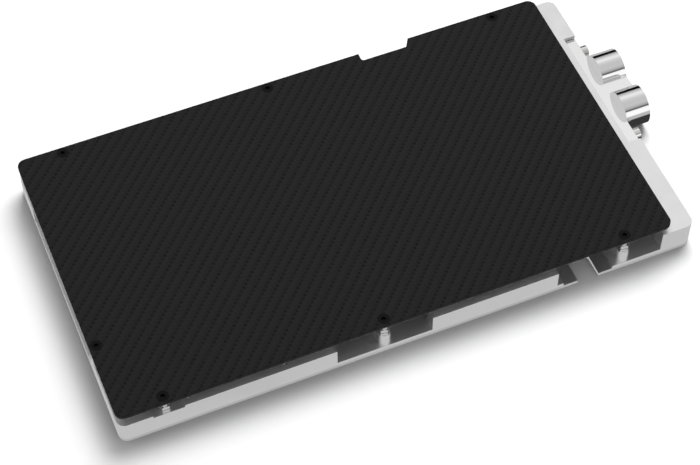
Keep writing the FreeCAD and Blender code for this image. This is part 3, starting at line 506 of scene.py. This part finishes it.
def flat_sheet(name, x_low, x_high, y_low, y_high, level, material):
    """A level rectangle that belongs to the studio and not to the part."""
    mesh = bpy.data.meshes.new(name)
    corners = [(x_low, y_low), (x_high, y_low), (x_high, y_high), (x_low, y_high)]
    mesh.from_pydata([(x, y, level) for x, y in corners], [], [(0, 1, 2, 3)])
    mesh.materials.append(material)
    sheet = bpy.data.objects.new(name, mesh)
    bpy.context.scene.collection.objects.link(sheet)
    return sheet


def if_straight(tree, rays, strength):
    """The strength, or 0 where a dull surface lies between the metal and the camera."""
    not_yet_dull = add_node(tree, "ShaderNodeMath", {"operation": "LESS_THAN"}, {
        0: rays.outputs["Diffuse Depth"], 1: 0.5})
    kept = add_node(tree, "ShaderNodeMath", {"operation": "MULTIPLY"}, {
        0: not_yet_dull.outputs[0], 1: strength})
    return kept.outputs[0]


print("table level in mm:", round(low.z / MM, 3))

# %% [markdown]
# The part rests on a plain pale table. The camera sees the table as white paper with the part's soft shadow
# on it. Polished metal sees it as an even pale grey, as it would a large sheet of paper lit from above.

# %% Table
TABLE_REACH = 4.0
table_paper, tree, shader = new_material("white_table_paper")
rays = add_node(tree, "ShaderNodeLightPath")
paper_colour = add_node(tree, "ShaderNodeMix", {"data_type": "RGBA"}, {
    "Factor": rays.outputs["Is Camera Ray"], "A": linear("#E6E6E6"), "B": linear("#FFFFFF")})
tree.links.new(paper_colour.outputs["Result"], shader.inputs["Base Color"])
shader.inputs["Roughness"].default_value = 0.9
shader.inputs["Specular IOR Level"].default_value = 0.0
as_mirrored = add_node(tree, "ShaderNodeEmission", inputs={
    "Color": linear("#D8D8D8"), "Strength": if_straight(tree, rays, 1.0)})
table_seen = add_node(tree, "ShaderNodeMixShader", inputs={
    0: rays.outputs["Is Glossy Ray"], 1: shader.outputs[0], 2: as_mirrored.outputs[0]})
tree.links.new(table_seen.outputs[0], tree.nodes["Material Output"].inputs["Surface"])
flat_sheet("table", -TABLE_REACH, TABLE_REACH, -TABLE_REACH, TABLE_REACH, low.z, table_paper)
print("table reaches", TABLE_REACH, "m each way")

# %% [markdown]
# In a studio, dark cards are laid beside bright metal, just outside the picture, because metal that mirrors
# only white paper looks flat and has no edges. One lies here beside the ports, and only shiny surfaces see
# it.
# It is a painted reflection: it glows a dark grey and paints dark bands on the ports where they mirror the
# table beside them, standing in for the shade that lies there.

# %% Painted reflection card beside the ports
CARD_LIFT = 0.2 * MM
CARD_MARGIN = 36 * MM
painted_reflection_face, tree, shader = new_material("painted_reflection_card")
# The dark grey glow is a painted reflection of shade, seen only by shiny surfaces.
painted_reflection_glow = add_node(tree, "ShaderNodeEmission", inputs={"Color": linear("#404040"), "Strength": 1.0})
tree.links.new(painted_reflection_glow.outputs[0], tree.nodes["Material Output"].inputs["Surface"])
block_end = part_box("cold_plate")[1].x
port_middles = [mount["pos_m"][1] for mount in ports]
card = flat_sheet("painted_reflection_card", block_end, high.x + CARD_MARGIN,
                  min(port_middles) - CARD_MARGIN, max(port_middles), low.z + CARD_LIFT, painted_reflection_face)
card.visible_camera = False
card.visible_diffuse = False
card.visible_shadow = False
print("card lies", CARD_LIFT / MM, "mm above the table")

# %% [markdown]
# Polished metal shows its surroundings, so a studio is more than its lamps. In front of the part stands a
# bright wall with one dark gap in it, about a third of the way up, which draws the dark line along the ports.
# Behind the part the wall is black low down, which draws the black line along the tops of the ports, and
# bright above that. The ceiling is a soft grey.

# %% Walls that metal mirrors
IN_FRONT = (("#FFFFFF", 0.0), ("#FFFFFF", 0.45), ("#484848", 0.52), ("#505050", 0.56),
            ("#A8A8A8", 0.66), ("#C8C8C8", 0.84), ("#B8B8B8", 0.98))
BEHIND = (("#030303", 0.0), ("#030303", 0.36), ("#A8A8A8", 0.44), ("#F0F0F0", 0.80), ("#C0C0C0", 0.98))
FRONT_ENDS, BACK_STARTS = -0.3, 0.3
world = bpy.data.worlds.new("studio")
bpy.context.scene.world = world
world.use_nodes = True
tree = world.node_tree
tree.nodes.clear()
looking = add_node(tree, "ShaderNodeTexCoord")
towards = add_node(tree, "ShaderNodeSeparateXYZ", inputs={"Vector": looking.outputs["Generated"]})

# Each wall is a ramp over how far up one looks: 0 is level with the table and 1 is straight up.
walls = []
for bands in (IN_FRONT, BEHIND):
    wall = add_node(tree, "ShaderNodeValToRGB", inputs={"Fac": towards.outputs["Z"]})
    ramp = wall.color_ramp
    while len(ramp.elements) < len(bands):
        ramp.elements.new(1.0)
    for element, (colour, height) in zip(ramp.elements, bands):
        element.position = height
        element.color = linear(colour)
    walls.append(wall.outputs["Color"])
backwards = add_node(tree, "ShaderNodeMapRange", inputs={
    "Value": towards.outputs["Y"], "From Min": FRONT_ENDS, "From Max": BACK_STARTS})
surroundings = add_node(tree, "ShaderNodeMix", {"data_type": "RGBA"}, {
    "Factor": backwards.outputs["Result"], "A": walls[0], "B": walls[1]})
print("walls have", len(IN_FRONT), "bands in front and", len(BEHIND), "behind")

# %% [markdown]
# Only shiny surfaces see these walls. Everything else is lit by an even, gentle sky, and the camera sees
# plain white past the edge of the table.

# %% Who sees what
SKY_FOR_PLAIN_SURFACES = 0.40
WALL_BRIGHTNESS = 1.4
rays = add_node(tree, "ShaderNodeLightPath")
plain_sky = add_node(tree, "ShaderNodeBackground", inputs={
    "Color": linear("#FFFFFF"), "Strength": SKY_FOR_PLAIN_SURFACES})
mirrored = add_node(tree, "ShaderNodeBackground", inputs={
    "Color": surroundings.outputs["Result"], "Strength": if_straight(tree, rays, WALL_BRIGHTNESS)})
backdrop = add_node(tree, "ShaderNodeBackground", inputs={"Color": linear("#FFFFFF"), "Strength": 1.0})
seen = add_node(tree, "ShaderNodeMixShader", inputs={
    0: rays.outputs["Is Glossy Ray"], 1: plain_sky.outputs[0], 2: mirrored.outputs[0]})
shown = add_node(tree, "ShaderNodeMixShader", inputs={
    0: rays.outputs["Is Camera Ray"], 1: seen.outputs[0], 2: backdrop.outputs[0]})
add_node(tree, "ShaderNodeOutputWorld", inputs={"Surface": shown.outputs[0]})
print("plain surfaces get", SKY_FOR_PLAIN_SURFACES, "of white from the sky")

# %% [markdown]
# One large softbox hangs high on the right, behind the part, so the shadow falls softly to the left and the
# front. It is hidden from shiny surfaces, which would show it as a hot square.

# %% Softbox
SOFTBOX_AZIMUTH = math.radians(50)
SOFTBOX_ELEVATION = math.radians(60)
SOFTBOX_DISTANCE = 1.4
SOFTBOX_SIDE = 0.9
SOFTBOX_WATTS = 19.5
softbox = bpy.data.objects.new("softbox", bpy.data.lights.new("softbox", "AREA"))
bpy.context.scene.collection.objects.link(softbox)
from_part = direction(SOFTBOX_AZIMUTH, SOFTBOX_ELEVATION)
facing = (-from_part).to_track_quat("-Z", "Y").to_matrix().to_4x4()
softbox.matrix_world = Matrix.Translation(from_part * SOFTBOX_DISTANCE) @ facing
softbox.data.size = SOFTBOX_SIDE
softbox.data.energy = SOFTBOX_WATTS
softbox.visible_glossy = False
print("softbox of", SOFTBOX_SIDE, "m at", SOFTBOX_DISTANCE, "m")
